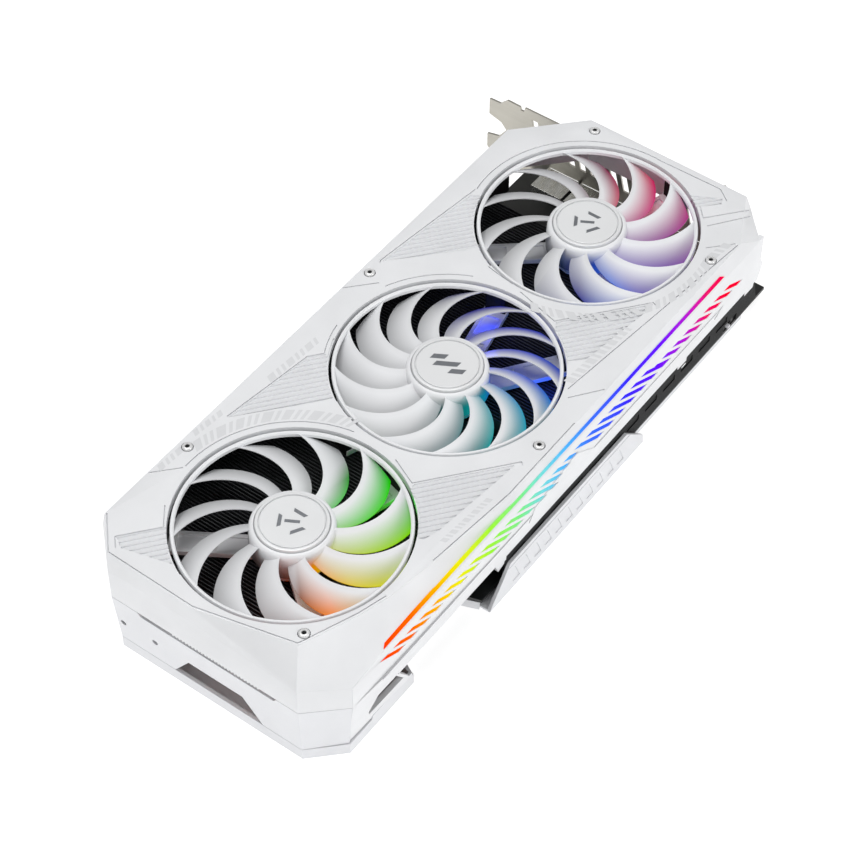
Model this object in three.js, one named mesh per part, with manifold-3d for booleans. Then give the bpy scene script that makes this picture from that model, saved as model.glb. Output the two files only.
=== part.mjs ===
// A three-fan graphics card lying on its backplate, fans up, in millimetres.
// +Z points out of the fans. +X runs along the card towards the slot bracket. +Y points to the edge connector.
// The origin is on the backplate's outer face, under the middle fan's axis.
import * as THREE from "three";
import { mergeVertices } from "three/addons/utils/BufferGeometryUtils.js";
import Module from "manifold-3d";

const wasm = await Module();
wasm.setup();

// ---------------------------------------------------------------- driving dimensions
const GAP = 0.3; // between pieces that touch on the real card
const REAR_X = -157.6; // end wall
const BRACKET_X = 160.9; // outer face of the slot bracket, 318.5 from the end wall
const SIDE_Y = -62; // lit long side
const SLOT_SIDE_Y = 62.4; // long side next to the motherboard
const FACE_Z = 56.8; // flat of the shroud
const TOP_Z = 57.8; // fan caps and screw heads
const SEAM_Z = 33.6; // where the shroud meets the end frame
const RIDGE_Z = 50.2; // ridge that carries the light line
const WALL = 2.2;

const FAN_PITCH = 101.4;
const OPENING_R = 48.5;
const DUCT_R = 50.2;
const DUCT_BOTTOM_Z = 41.4;
const ROUND = 36; // segments of a large circle

const BOARD_Z = [5.0, 6.6];
const BOARD_REAR_X = -101.5;
const BOARD_FRONT_X = 158.4;
const BOARD_Y = [-59.3, 68.7];
const EDGE_CONNECTOR_Y = 77;

const FIN_Z = [19.8, 21, 37]; // underside of the base, top of the base, fin tips
const FIN_Y = [-54, 55];
const FIN_PITCH = 4;
const FIN_THICKNESS = 0.6;
const PIPE_R = 3;
const GPU = [58, 5];

// ---------------------------------------------------------------- solids from three.js geometry
function solid(geometry) {
  const bare = geometry.index ? geometry.toNonIndexed() : geometry.clone();
  for (const name of Object.keys(bare.attributes)) {
    if (name !== "position") bare.deleteAttribute(name);
  }
  const merged = mergeVertices(bare, 1e-4);
  const corners = merged.index.array;
  const kept = [];
  for (let i = 0; i < corners.length; i += 3) {
    const [a, b, c] = corners.slice(i, i + 3);
    if (a !== b && b !== c && a !== c) kept.push(a, b, c);
  }
  const vertProperties = merged.attributes.position.array;
  return new wasm.Manifold(new wasm.Mesh({ numProp: 3, vertProperties, triVerts: new Uint32Array(kept) }));
}

function geometryOf(manifold) {
  const { vertProperties, triVerts, numProp } = manifold.getMesh();
  const count = vertProperties.length / numProp;
  const positions = new Float32Array(count * 3);
  for (let i = 0; i < count; i++) positions.set(vertProperties.subarray(i * numProp, i * numProp + 3), i * 3);
  const geometry = new THREE.BufferGeometry();
  geometry.setAttribute("position", new THREE.BufferAttribute(positions, 3));
  geometry.setIndex(new THREE.BufferAttribute(triVerts, 1));
  return geometry;
}

const joined = (first, ...rest) => rest.reduce((all, next) => all.add(next), first);
const cut = (body, ...tools) => tools.reduce((left, tool) => left.subtract(tool), body);

// A box between two corners.
function box([x0, y0, z0], [x1, y1, z1]) {
  const made = new THREE.BoxGeometry(x1 - x0, y1 - y0, z1 - z0);
  return solid(made.translate((x0 + x1) / 2, (y0 + y1) / 2, (z0 + z1) / 2));
}

// An upright cylinder, or a cone when the top radius differs.
function post(x, y, z0, z1, radius, segments = 24, topRadius = radius) {
  const made = new THREE.CylinderGeometry(topRadius, radius, z1 - z0, segments);
  return solid(made.rotateX(Math.PI / 2).translate(x, y, (z0 + z1) / 2));
}

// A ring or stepped round piece: a closed profile of [radius, z] corners turned about the Z axis.
function turned(profile, segments = ROUND) {
  const points = [...profile, profile[0]].map(([r, z]) => new THREE.Vector2(r, z));
  const made = solid(new THREE.LatheGeometry(points, segments).rotateX(Math.PI / 2));
  if (made.volume() > 0) return made;
  return solid(new THREE.LatheGeometry(points.reverse(), segments).rotateX(Math.PI / 2));
}

// A flat outline of [x, y] corners raised from z0 to z1.
function raised(outline, z0, z1) {
  const shape = new THREE.Shape(outline.map(([x, y]) => new THREE.Vector2(x, y)));
  return solid(new THREE.ExtrudeGeometry(shape, { depth: z1 - z0, bevelEnabled: false }).translate(0, 0, z0));
}

// An outline of [x, z] corners given thickness from y0 to y1.
function raisedAlongY(outline, y0, y1) {
  const turn = new THREE.Matrix4().makeRotationX(Math.PI / 2);
  const flat = geometryOf(raised(outline, -y1, -y0));
  return solid(flat.applyMatrix4(turn));
}

// An outline of [y, z] corners run from x0 to x1.
function raisedAlongX(outline, x0, x1) {
  const turn = new THREE.Matrix4().makeBasis(
    new THREE.Vector3(0, 1, 0), new THREE.Vector3(0, 0, 1), new THREE.Vector3(1, 0, 0));
  return solid(geometryOf(raised(outline, x0, x1)).applyMatrix4(turn));
}

// A closed skin over rings of [x, y, z] corners, listed from the top ring down.
function lofted(rings) {
  const count = rings[0].length;
  const corners = rings.flat().flat();
  const faces = [];
  for (let r = 0; r + 1 < rings.length; r++) {
    for (let i = 0; i < count; i++) {
      const j = (i + 1) % count;
      const [a, b, c, d] = [(r + 1) * count + i, (r + 1) * count + j, r * count + j, r * count + i];
      faces.push(a, b, c, a, c, d);
    }
  }
  const flat = (ring) => ring.map(([x, y]) => new THREE.Vector2(x, y));
  const last = (rings.length - 1) * count;
  for (const [a, b, c] of THREE.ShapeUtils.triangulateShape(flat(rings[0]), [])) faces.push(a, b, c);
  for (const [a, b, c] of THREE.ShapeUtils.triangulateShape(flat(rings.at(-1)), [])) {
    faces.push(last + c, last + b, last + a);
  }
  const geometry = new THREE.BufferGeometry();
  geometry.setAttribute("position", new THREE.Float32BufferAttribute(corners, 3));
  geometry.setIndex(faces);
  return solid(geometry);
}

// An anticlockwise outline with every edge moved inwards.
function inset(outline, distance) {
  const count = outline.length;
  return outline.map((corner, i) => {
    const [here, before, after] = [corner, outline[(i + count - 1) % count], outline[(i + 1) % count]];
    const u = new THREE.Vector2(here[0] - before[0], here[1] - before[1]).normalize();
    const v = new THREE.Vector2(after[0] - here[0], after[1] - here[1]).normalize();
    const left = new THREE.Vector2(-u.y - v.y, u.x + v.x).normalize();
    const stretch = distance / Math.max(0.3, left.dot(new THREE.Vector2(-u.y, u.x)));
    return [here[0] + left.x * stretch, here[1] + left.y * stretch];
  });
}

// ---------------------------------------------------------------- materials
const paint = (color, roughness, metalness) => new THREE.MeshStandardMaterial({ color, roughness, metalness });
const WHITE_PLASTIC = paint(0xe9eaec, 0.42, 0);
const WHITE_METAL = paint(0xe4e5e8, 0.38, 0.3);
const BLADE_PLASTIC = paint(0xf2f2f4, 0.4, 0);
const CAP_METAL = paint(0xdedfe2, 0.3, 0.5);
const FIN_BLACK = paint(0x141416, 0.45, 0.6);
const COPPER = paint(0xb9784c, 0.3, 1);
const NICKEL = paint(0xc9c9c6, 0.3, 1);
const STEEL = paint(0xb9b7b0, 0.42, 1);
const BOARD_BLACK = paint(0x101211, 0.5, 0);
const CHIP_BLACK = paint(0x1c1d1f, 0.4, 0);
const SOCKET_BLACK = paint(0x0c0c0d, 0.55, 0);
const LIGHT = new THREE.MeshStandardMaterial({ color: 0xf4f6ff, roughness: 0.3, emissive: 0x4a5cff });
const BRASS = paint(0xb08d4a, 0.35, 1);

const card = new THREE.Group();

function place(name, body, material, parent = card) {
  const mesh = new THREE.Mesh(body.isBufferGeometry ? body : geometryOf(body), material);
  mesh.name = name;
  parent.add(mesh);
  return mesh;
}

// ---------------------------------------------------------------- shroud and frame
// Each row: corner of the flat face, corner of the wall below it, height where that wall starts.
const SHROUD_CORNERS = [
  [[-155.1, 48.0], [REAR_X, 46.0], 50.2],
  [[-155.9, 5.2], [REAR_X, 5.2], 50.2],
  [[-145.6, -37.6], [REAR_X, -46.0], 47.5],
  [[-117.0, -47.5], [-143.5, -61.0], 46.5],
  [[-80.8, -55.3], [-122.0, SIDE_Y], RIDGE_Z],
  [[4.6, -59.3], [4.6, SIDE_Y], RIDGE_Z],
  [[130.8, -59.2], [142.0, SIDE_Y], RIDGE_Z],
  [[156.2, -46.1], [157.8, -47.5], RIDGE_Z],
  [[156.8, 35.1], [157.8, 35.5], RIDGE_Z],
  [[129.3, 61.5], [130.0, SLOT_SIDE_Y], RIDGE_Z],
  [[-116.8, 61.5], [-116.8, SLOT_SIDE_Y], RIDGE_Z],
  [[-140.7, 61.5], [-141.5, SLOT_SIDE_Y], RIDGE_Z],
];
const FACE_OUTLINE = SHROUD_CORNERS.map(([face]) => face);
const WALL_OUTLINE = SHROUD_CORNERS.map(([, wall]) => wall);
const WALL_TOPS = SHROUD_CORNERS.map(([, , z]) => z);
const FAN_X = [-FAN_PITCH, 0, FAN_PITCH];
const RAIL_X = [-131, 146];
const LIGHT_X = [-125.2, 117];
const LIGHT_Z = 48.7;
const PAN_Z = 6; // top of the backplate's rim
const SCREWS = [[-96.1, 57.0], [-140.1, -36.2], [22.8, 57.0], [-13.0, -54.3], [151.4, 29.8], [113.9, -54.3]];
const SCREW_SHANK_R = 1.3;

function shroudSkin(depth) {
  const face = inset(FACE_OUTLINE, depth ? depth + 0.6 : 0).map(([x, y]) => [x, y, FACE_Z - depth * 1.1]);
  const wall = inset(WALL_OUTLINE, depth);
  const shoulder = wall.map(([x, y], i) => [x, y, WALL_TOPS[i] - depth * 1.1]);
  const foot = wall.map(([x, y]) => [x, y, SEAM_Z - (depth ? 1 : 0)]);
  return lofted([face, shoulder, foot]);
}

function frontShroud() {
  let body = shroudSkin(0).subtract(shroudSkin(WALL));
  for (const x of FAN_X) {
    const duct = turned([[40, DUCT_BOTTOM_Z], [DUCT_R, DUCT_BOTTOM_Z], [DUCT_R, FACE_Z - 1], [40, FACE_Z - 1]]);
    body = body.add(duct.translate(x, 0, 0));
  }
  for (const [x, y] of SCREWS) body = body.add(post(x, y, 46, FACE_Z - 1, 3.2, 12));
  for (const x of FAN_X) body = body.subtract(post(x, 0, 0, 80, OPENING_R, ROUND));
  for (const [x, y] of SCREWS) body = body.subtract(post(x, y, 40, 80, SCREW_SHANK_R + GAP, 12));
  return body.subtract(box([RAIL_X[0], -70, 20], [RAIL_X[1] + 20, SIDE_Y + WALL + 0.6, RIDGE_Z + 0.6]));
}

// The stripe of slanted windows along the lit side. Each one falls as it runs forward.
const DASH = { count: 31, pitch: 8.24, firstX: -127.2, width: 3.4, fall: 0.52 };

// Lower and upper edge of the stripe at the window that starts at x.
function dashBand(x) {
  if (x < -77) return [39.8, 45.3];
  if (x < -28) return [37, 45.3];
  if (x < 0) return [THREE.MathUtils.mapLinear(x, -28, 0, 38.4, 43), 45.3];
  return x < 60 ? [36.8, 45.5] : [36.8, 42.4];
}

function dashOutline(i, grow = 0) {
  const x = DASH.firstX + i * DASH.pitch;
  const [low, high] = dashBand(x);
  const run = (z) => x + (high - z) / DASH.fall;
  const side = grow * 2.2;
  return [
    [run(high + grow) - side, high + grow],
    [run(low - grow) - side, low - grow],
    [run(low - grow) + DASH.width + side, low - grow],
    [run(high + grow) + DASH.width + side, high + grow],
  ];
}
const dashes = [...Array(DASH.count).keys()];

function sideRail() {
  const outline = [
    [RAIL_X[0] + GAP, LIGHT_Z - GAP], [RAIL_X[0] + GAP, 24.5], [-56, 24.2], [-46, 21.8], [148.5, 21.8],
    [148.5, 31.5], [RAIL_X[1] - 0.5, 36.5], [RAIL_X[1] - 0.5, RIDGE_Z + GAP],
    [LIGHT_X[1] + GAP, RIDGE_Z + GAP], [LIGHT_X[1] + GAP, LIGHT_Z - GAP],
  ];
  const windows = dashes.map((i) => raisedAlongY(dashOutline(i, GAP), SIDE_Y - 1, SIDE_Y + WALL + 1));
  return cut(raisedAlongY(outline, SIDE_Y, SIDE_Y + WALL), ...windows);
}

function lightDashes() {
  const back = box([-125.5, SIDE_Y + 2.5, 36], [134.5, SIDE_Y + 3.4, 46]);
  return joined(back, ...dashes.map((i) => raisedAlongY(dashOutline(i), SIDE_Y + 0.2, SIDE_Y + 2.6)));
}

// The lower walls lean inwards towards the backplate.
const FOOT_OUTLINE = inset(WALL_OUTLINE, 1.8).map(([x, y]) => [x, Math.max(y, -58.4)]);
const at = (z) => ([x, y]) => [x, y, z];

// Lower wall round the rear end, with its vents.
function endFrame() {
  const [foot, top] = [PAN_Z + GAP, SEAM_Z - GAP];
  const outer = lofted([WALL_OUTLINE.map(at(top)), FOOT_OUTLINE.map(at(foot))]);
  const [innerTop, innerFoot] = [inset(WALL_OUTLINE, WALL), inset(FOOT_OUTLINE, WALL)];
  const inner = lofted([innerTop.map(at(top + 1)), innerFoot.map(at(foot - 1))]);
  const rearVent = raisedAlongX([[18, foot - 2], [9.4, 18.8], [-17.6, 18.8], [-26.5, foot - 2]], -170, -150);
  const slot = box([-170, -33.6, 30.4], [-150, 31.2, 31.8]);
  const braceHoles = [42.9, 26.6].map((y) => {
    return post(0, 0, -10, 10, 1.3, 12).rotate([0, 90, 0]).translate([REAR_X, y, 18]);
  });
  const kept = outer.subtract(inner).intersect(box([-170, -80, 0], [RAIL_X[0] - GAP, 80, 60]));
  return cut(kept, rearVent, slot, ...braceHoles);
}

// The board and the backplate step back from the lit side where the power sockets are.
const RECESS_Y = -51;
const SOCKET_RECESS = [[-101.8, -60], [-98, RECESS_Y], [-60.6, RECESS_Y], [-57.8, -60]];

// A shallow pan under the board. Its rim stands taller beyond the end of the board and at the side lip.
function backplate() {
  const recess = SOCKET_RECESS.map(([x, y]) => [x, Math.max(y, -58.4)]);
  const outline = [...FOOT_OUTLINE.slice(0, 5), ...recess, ...FOOT_OUTLINE.slice(5)];
  const within = inset(outline, 1.6);
  const low = raised(outline, 1, BOARD_Z[0] - GAP).subtract(raised(within, 0, 8));
  const rearEnd = box([-170, -70, 0], [-102, 70, 8]);
  const tall = raised(outline, 1, PAN_Z).subtract(raised(within, 0, 8)).intersect(rearEnd);
  const lip = raisedAlongY([[-131, 1], [-102, 1], [-103, 8], [-128, 8]], -58.4, -57);
  const slots = [...Array(8).keys()].map((i) => box([-147 + i * 4, -34, -1], [-144.8 + i * 4, 34, 3]));
  const bosses = BOARD_BOSSES.map(([x, y]) => post(x, y, 1, BOARD_Z[0] - GAP, 2.6, 12));
  const holes = SPRING_SCREWS.map(([x, y]) => post(x, y, -1, 3, 3.6, 16));
  const badgeNotch = box([-57.5, -60, -1], [56.3, -56.7, 8]);
  return cut(joined(raised(outline, 0, 1.6), low, tall, lip, ...bosses), badgeNotch, ...slots, ...holes);
}

const SPRING_SCREWS = [[-1, -1], [1, -1], [1, 1], [-1, 1]].map(([i, j]) => [GPU[0] + 25 * i, GPU[1] + 25 * j]);
const BOARD_BOSSES = [[-95, 52], [-95, -40], [-30, 50], [-20, -46], [140, 50], [132, -48]];

// Badge strip at the backplate's edge: a leaning face over a flat foot, cut off slantwise at both ends.
function sideBadge() {
  const section = [[-57, 0], [-57, 1.2], [-61.4, 1.2], [-60.3, 15], [-61.5, 15], [-62.9, 1.2], [-62.9, 0]];
  const rearCut = raisedAlongY([[-58, -1], [-39, 16], [-58, 16]], -70, -59.5);
  const frontCut = raisedAlongY([[57, 4], [57, 16], [43.5, 16]], -70, -59.5);
  return cut(raisedAlongX(section.reverse(), -57, 55.8), rearCut, frontCut);
}

place("front_shroud", frontShroud(), WHITE_PLASTIC);
place("side_rail", sideRail(), WHITE_PLASTIC);
const lightLine = box([LIGHT_X[0], SIDE_Y + 0.1, LIGHT_Z], [LIGHT_X[1], SIDE_Y + WALL, RIDGE_Z + 0.3]);
place("light_line", lightLine, LIGHT);
place("light_dashes", lightDashes(), LIGHT);
place("led_strip", box([-124, SIDE_Y + 3.8, 37], [132, SIDE_Y + 4.6, 45.6]), BOARD_BLACK);
place("end_frame", endFrame(), WHITE_METAL);
place("backplate", backplate(), WHITE_METAL);
place("side_badge", sideBadge(), WHITE_METAL);

// ---------------------------------------------------------------- circuit board and what is soldered to it
function circuitBoard() {
  const [front, bottom] = [115.4, EDGE_CONNECTOR_Y];
  const outline = [
    [BOARD_REAR_X, RECESS_Y + 0.6], [-60.2, RECESS_Y + 0.6], [-57.5, BOARD_Y[0]],
    [BOARD_FRONT_X, BOARD_Y[0]], [BOARD_FRONT_X, BOARD_Y[1]],
    [front, BOARD_Y[1]], [front, bottom], [front - 11.65, bottom], [front - 11.65, 69.5],
    [front - 13.55, 69.5], [front - 13.55, bottom], [front - 85.2, bottom], [front - 85.2, 70],
    [front - 88.6, 70], [front - 88.6, 74.5], [front - 92.2, 74.5], [front - 92.2, BOARD_Y[1]],
    [BOARD_REAR_X, BOARD_Y[1]],
  ];
  const holes = SPRING_SCREWS.map(([x, y]) => post(x, y, 4, 8, 1.8, 12));
  return cut(raised(outline, ...BOARD_Z), ...holes);
}

// A socket shell that opens towards +X, with a contact tongue inside.
function displaySocket(width, height, tongue) {
  const shell = box([0, -width / 2, 0], [14.5, width / 2, height]);
  const mouth = box([2, -width / 2 + 0.6, 0.6], [15, width / 2 - 0.6, height - 0.6]);
  return shell.subtract(mouth).add(box([1, -tongue / 2, height / 2 - 0.5], [11, tongue / 2, height / 2 + 0.7]));
}

// An eight-way power socket that opens towards -Y, with a latch ledge on top.
function powerSocket() {
  const body = box([-9, 0, 0], [9, 12.4, 9.8]);
  const cells = [];
  for (const row of [0, 1]) {
    for (const column of [0, 1, 2, 3]) {
      const [x, z] = [-6.3 + column * 4.2, 2.7 + row * 4.3];
      cells.push(box([x - 1.75, -1, z - 1.75], [x + 1.75, 10, z + 1.75]));
    }
  }
  return cut(body, ...cells).add(box([-2, 0.8, 9.5], [2, 3.2, 11]));
}

const SOCKET_TOP = BOARD_Z[1] + GAP;
place("circuit_board", circuitBoard(), BOARD_BLACK);
const DISPLAYS = [
  ["video_socket_1", 50, 16.4, 11], ["video_socket_2", 32.6, 15.4, 10], ["video_socket_3", 15.2, 16.4, 11],
  ["video_socket_4", -2.2, 15.4, 10], ["video_socket_5", -19.6, 16.4, 11],
];
for (const [name, y, width, tongue] of DISPLAYS) {
  place(name, displaySocket(width, 5.8, tongue), NICKEL).position.set(BRACKET_X - 15.8, y, SOCKET_TOP);
}
for (const i of [0, 1, 2]) {
  place(`power_socket_${i + 1}`, powerSocket(), SOCKET_BLACK).position.set(-90 + i * 18.4, RECESS_Y - GAP, SOCKET_TOP);
}
place("gpu_package", box([-21, -21, 0], [21, 21, 1.2]), BOARD_BLACK).position.set(...GPU, BOARD_Z[1] + GAP);
place("gpu_die", box([-13.5, -12, 0], [13.5, 12, 0.8]), NICKEL).position.set(...GPU, BOARD_Z[1] + 1.8);

// Two-position firmware switch at the board's edge: its slider travels along X.
const SWITCH = { x: 128, y: -58.9 };
const switchBody = box([-4.5, 0, 0], [4.5, 5, 3.4]).subtract(box([-2.4, -1, 0.9], [2.4, 2.6, 2.5]));
place("bios_switch_body", switchBody, SOCKET_BLACK).position.set(SWITCH.x, SWITCH.y, SOCKET_TOP);
const slider = box([-2.1, -1.5, 1.2], [-0.1, 2.3, 2.2]);
place("bios_switch_slider", slider, WHITE_PLASTIC).position.set(SWITCH.x, SWITCH.y, SOCKET_TOP);

// ---------------------------------------------------------------- slot bracket
function slotBracket() {
  const [low, high] = [1.8, 41];
  const [inner, outer] = [BRACKET_X - 1, BRACKET_X];
  // The plate's outline in [y, z]: two hooked feet at the +Y end, straight at the other.
  const outline = [
    [-28, high], [-28, low], [84, low], [84, 5.6], [92.2, 5.6], [93.2, 7], [93.2, 14.6], [86.8, 16.2], [82.6, 22],
    [85.6, 25.4], [92.4, 27.4], [92.4, 36.4], [86.4, 36.6], [82.6, 40.4], [75.4, 40.2], [74.8, 38.4],
    [73.2, 38.6], [72.8, high],
  ];
  const plate = raisedAlongX(outline, inner, outer);
  const mouths = DISPLAYS.map(([, y, width]) => {
    const half = width / 2 - 0.2;
    return box([inner - 1, y - half, SOCKET_TOP + 0.2], [outer + 1, y + half, SOCKET_TOP + 5.6]);
  });
  const vents = [...Array(15).keys()].map((i) => {
    const y = -21 + i * 5.9;
    return raisedAlongX([[y, 20], [y + 3.2, 20], [y + 7.2, 36], [y + 4, 36]], inner - 1, outer + 1);
  });
  const flange = box([inner, -28, low], [outer + 10.4, -27, high]);
  const flangeSlots = [11, 31.3].map((z) => box([outer + 4, -30, z - 2.2], [outer + 14, -20, z + 2.2]));
  const fold = box([inner - 3.6, -27, BOARD_Z[0] - GAP - 1.1], [outer, 62, BOARD_Z[0] - GAP]);
  return cut(joined(plate, flange, fold), ...mouths, ...vents, ...flangeSlots);
}
place("io_bracket", slotBracket(), STEEL);

// ---------------------------------------------------------------- heatsink
// A comb of fins standing on one base plate.
function finStack(x0, x1) {
  const count = Math.floor((x1 - x0 - FIN_THICKNESS) / FIN_PITCH) + 1;
  const outline = [[x0, FIN_Z[0]], [x0 + (count - 1) * FIN_PITCH + FIN_THICKNESS, FIN_Z[0]]];
  for (let i = count - 1; i >= 0; i--) {
    const x = x0 + i * FIN_PITCH;
    outline.push([x + FIN_THICKNESS, i === count - 1 ? FIN_Z[2] : FIN_Z[1]]);
    if (i < count - 1) outline.push([x + FIN_THICKNESS, FIN_Z[2]]);
    outline.push([x, FIN_Z[2]]);
    if (i > 0) outline.push([x, FIN_Z[1]]);
  }
  return raisedAlongY(outline, ...FIN_Y);
}

// Heat pipes lie side by side over the processor and spread out towards the rear.
function heatPipe(i) {
  const [close, wide] = [(i - 2.5) * 7.4 + GPU[1], (i - 2.5) * 15 + 2];
  const z = FIN_Z[0] - GAP - PIPE_R;
  const bend = close + (wide - close) * 0.35;
  const route = [[102, close], [28, close], [6, bend], [-22, wide], [-50, wide], [-140, wide]];
  const points = route.map(([x, y]) => new THREE.Vector3(x, y, z));
  const smooth = new THREE.CatmullRomCurve3(points, false, "chordal");
  const section = new THREE.Shape();
  section.absarc(0, 0, PIPE_R, 0, Math.PI * 2);
  const settings = { steps: 12, curveSegments: 3, extrudePath: smooth, bevelEnabled: false };
  return new THREE.ExtrudeGeometry(section, settings);
}

place("fin_stack_rear", finStack(-141, -4), FIN_BLACK);
place("fin_stack_front", finStack(2, 110), FIN_BLACK);
for (let i = 0; i < 6; i++) place(`heat_pipe_${i + 1}`, solid(heatPipe(i)), COPPER);
const plateBottom = BOARD_Z[1] + 2.9;
place("cold_plate", box([-32, -29, 0], [32, 29, FIN_Z[0] - 2 * GAP - 2 * PIPE_R - plateBottom]), NICKEL)
  .position.set(...GPU, plateBottom);

// ---------------------------------------------------------------- fans
const HUB_R = 17;
const RING_R = [45.8, 47.4];
const ROTOR_Z = [43, 55.6];
const FANS = [
  { name: 1, x: FAN_X[0], blades: 11, turn: 1, phase: 8, arms: [122, 232, 345] },
  { name: 2, x: FAN_X[1], blades: 13, turn: -1, phase: 4, arms: [-36, 12, 160] },
  { name: 3, x: FAN_X[2], blades: 11, turn: 1, phase: 8, arms: [129, 240, 345] },
];
const BLADE = { sweep: 34, chord: 21, top: 54.6, drop: [9.2, 8.0], thickness: 1.3, spans: 3, chords: 2 };

// A point on a blade: s runs from hub to ring, c from the low trailing edge to the high leading edge.
function bladePoint(s, c, turn, start) {
  const radius = THREE.MathUtils.lerp(HUB_R - 2, RING_R[0] + 0.8, s);
  const angle = start + turn * (BLADE.sweep * s ** 1.6 + BLADE.chord * (c - 0.5));
  const fall = THREE.MathUtils.lerp(...BLADE.drop, s);
  const z = BLADE.top - 0.6 * (1 - s) - fall * (1 - c) ** 0.85;
  const a = THREE.MathUtils.degToRad(angle);
  return new THREE.Vector3(radius * Math.cos(a), radius * Math.sin(a), z);
}

function blade(turn, start) {
  const { spans, chords, thickness } = BLADE;
  const rings = [];
  for (let i = 0; i <= spans; i++) {
    const above = [];
    const below = [];
    for (let j = 0; j <= chords; j++) {
      const p = bladePoint(i / spans, j / chords, turn, start);
      above.push([p.x, p.y, p.z]);
      below.unshift([p.x, p.y, p.z - thickness]);
    }
    rings.push([...above, ...below]);
  }
  const count = rings[0].length;
  const faces = [];
  const quad = (a, b, c, d) => (turn > 0 ? faces.push(a, b, c, a, c, d) : faces.push(a, c, b, a, d, c));
  for (let i = 0; i < spans; i++) {
    for (let k = 0; k < count; k++) {
      const l = (k + 1) % count;
      quad(i * count + k, (i + 1) * count + k, (i + 1) * count + l, i * count + l);
    }
  }
  for (let j = 0; j < chords; j++) {
    const far = spans * count;
    quad(j, j + 1, count - 2 - j, count - 1 - j);
    quad(far + count - 1 - j, far + count - 2 - j, far + j + 1, far + j);
  }
  const geometry = new THREE.BufferGeometry();
  geometry.setAttribute("position", new THREE.Float32BufferAttribute(rings.flat().flat(), 3));
  geometry.setIndex(faces);
  return solid(geometry);
}

function rotor({ blades, turn, phase }) {
  const [bottom, top] = ROTOR_Z;
  const hub = turned([
    [0, 53], [13.5, 53], [13.5, bottom], [HUB_R - 0.6, bottom], [HUB_R, 52], [15.9, top + 1],
    [15.2, top + 1], [15.2, 55.2], [0, 55.2],
  ], 24);
  const ring = turned([[RING_R[0], 46.5], [RING_R[1], 46.5], [RING_R[1], top], [RING_R[0], top]]);
  const all = [...Array(blades).keys()].map((i) => blade(turn, phase + (i * 360) / blades));
  const clear = post(0, 0, 40, 53, 13.5, 24).add(post(0, 0, 55.2, 60, 15.2, 24));
  return joined(hub, ring, ...all).subtract(clear);
}

// Base plate, bearing tube and three arms that carry the motor.
function fanFrame({ arms }) {
  const seat = [[0, 38.6], [15, 38.6], [15, 40.6], [4.8, 40.6], [4.8, 50], [3.5, 50], [3.5, 39.6], [0, 39.6]];
  const base = turned(seat, 16);
  const spokes = arms.map((degrees) => {
    const slots = [18, 34].map((x) => box([x, -3.4, 40.2], [x + 12, 3.4, 42]));
    return cut(box([13, -5.2, 38.6], [52, 5.2, 41.1]), ...slots).rotate([0, 0, degrees]);
  });
  return joined(base, ...spokes);
}

// Laminated core with four wound poles.
function stator() {
  const poles = [0, 90].map((degrees) => {
    const bar = box([-9.5, -2.6, 44.4], [9.5, 2.6, 48.6]);
    const shoes = [box([9, -5.4, 43.6], [11.8, 5.4, 49.4]), box([-11.8, -5.4, 43.6], [-9, 5.4, 49.4])];
    return joined(bar, ...shoes).rotate([0, 0, degrees]);
  });
  return joined(post(0, 0, 44.4, 48.6, 6.6, 16), ...poles).subtract(post(0, 0, 40, 52, 4.8 + GAP, 16));
}

for (const fan of FANS) {
  const group = new THREE.Group();
  group.position.x = fan.x;
  card.add(group);
  place(`fan_frame_${fan.name}`, fanFrame(fan), WHITE_PLASTIC, group);
  place(`fan_stator_${fan.name}`, stator(), COPPER, group);
  place(`fan_bearing_${fan.name}`, turned([[1.9, 40], [3.1, 40], [3.1, 50], [1.9, 50]], 16), BRASS, group);
  place(`fan_shaft_${fan.name}`, post(0, 0, 40.4, 52.7, 1.5, 12), NICKEL, group);
  place(`fan_rotor_${fan.name}`, rotor(fan), BLADE_PLASTIC, group);
  place(`hub_cap_${fan.name}`, post(0, 0, 55.5, TOP_Z, 14.7, 24, 14.3), CAP_METAL, group);
}

// ---------------------------------------------------------------- fasteners
function shroudScrew() {
  const head = post(0, 0, FACE_Z + GAP, TOP_Z, 2.6, 12);
  const shank = post(0, 0, 47, FACE_Z + 0.5, SCREW_SHANK_R, 8);
  return joined(head, shank).subtract(post(0, 0, TOP_Z - 0.6, TOP_Z + 1, 1.1, 6));
}
SCREWS.forEach(([x, y], i) => place(`shroud_screw_${i + 1}`, shroudScrew(), STEEL).position.set(x, y, 0));

// Cross-shaped spring behind the board: it pulls the cold plate onto the processor.
function retentionBracket() {
  const arms = [45, -45].map((degrees) => box([-39, -4.5, 0], [39, 4.5, 1]).rotate([0, 0, degrees]));
  const holes = SPRING_SCREWS.map(([x, y]) => post(x - GPU[0], y - GPU[1], -1, 2, 1.8, 12));
  return cut(joined(...arms), ...holes);
}
place("gpu_retention_bracket", retentionBracket(), STEEL).position.set(...GPU, 3.6);

function springScrew() {
  const head = post(0, 0, 0.8, 3.3, 3, 12);
  return head.add(post(0, 0, 3, plateBottom - GAP, 1.3, 8)).subtract(post(0, 0, 0, 1.8, 1.2, 6));
}
SPRING_SCREWS.forEach(([x, y], i) => place(`spring_screw_${i + 1}`, springScrew(), STEEL).position.set(x, y, 0));

export default card;
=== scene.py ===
"""Looks of the three-fan graphics card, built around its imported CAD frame.

Lengths inside this script are in millimetres until make() turns them into metres.
+Z points out of the fans, +X towards the slot bracket, -Y is the lit long side.
"""
import math

import bmesh
import bpy
from mathutils import Matrix, Vector
from mathutils.geometry import delaunay_2d_cdt


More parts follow.
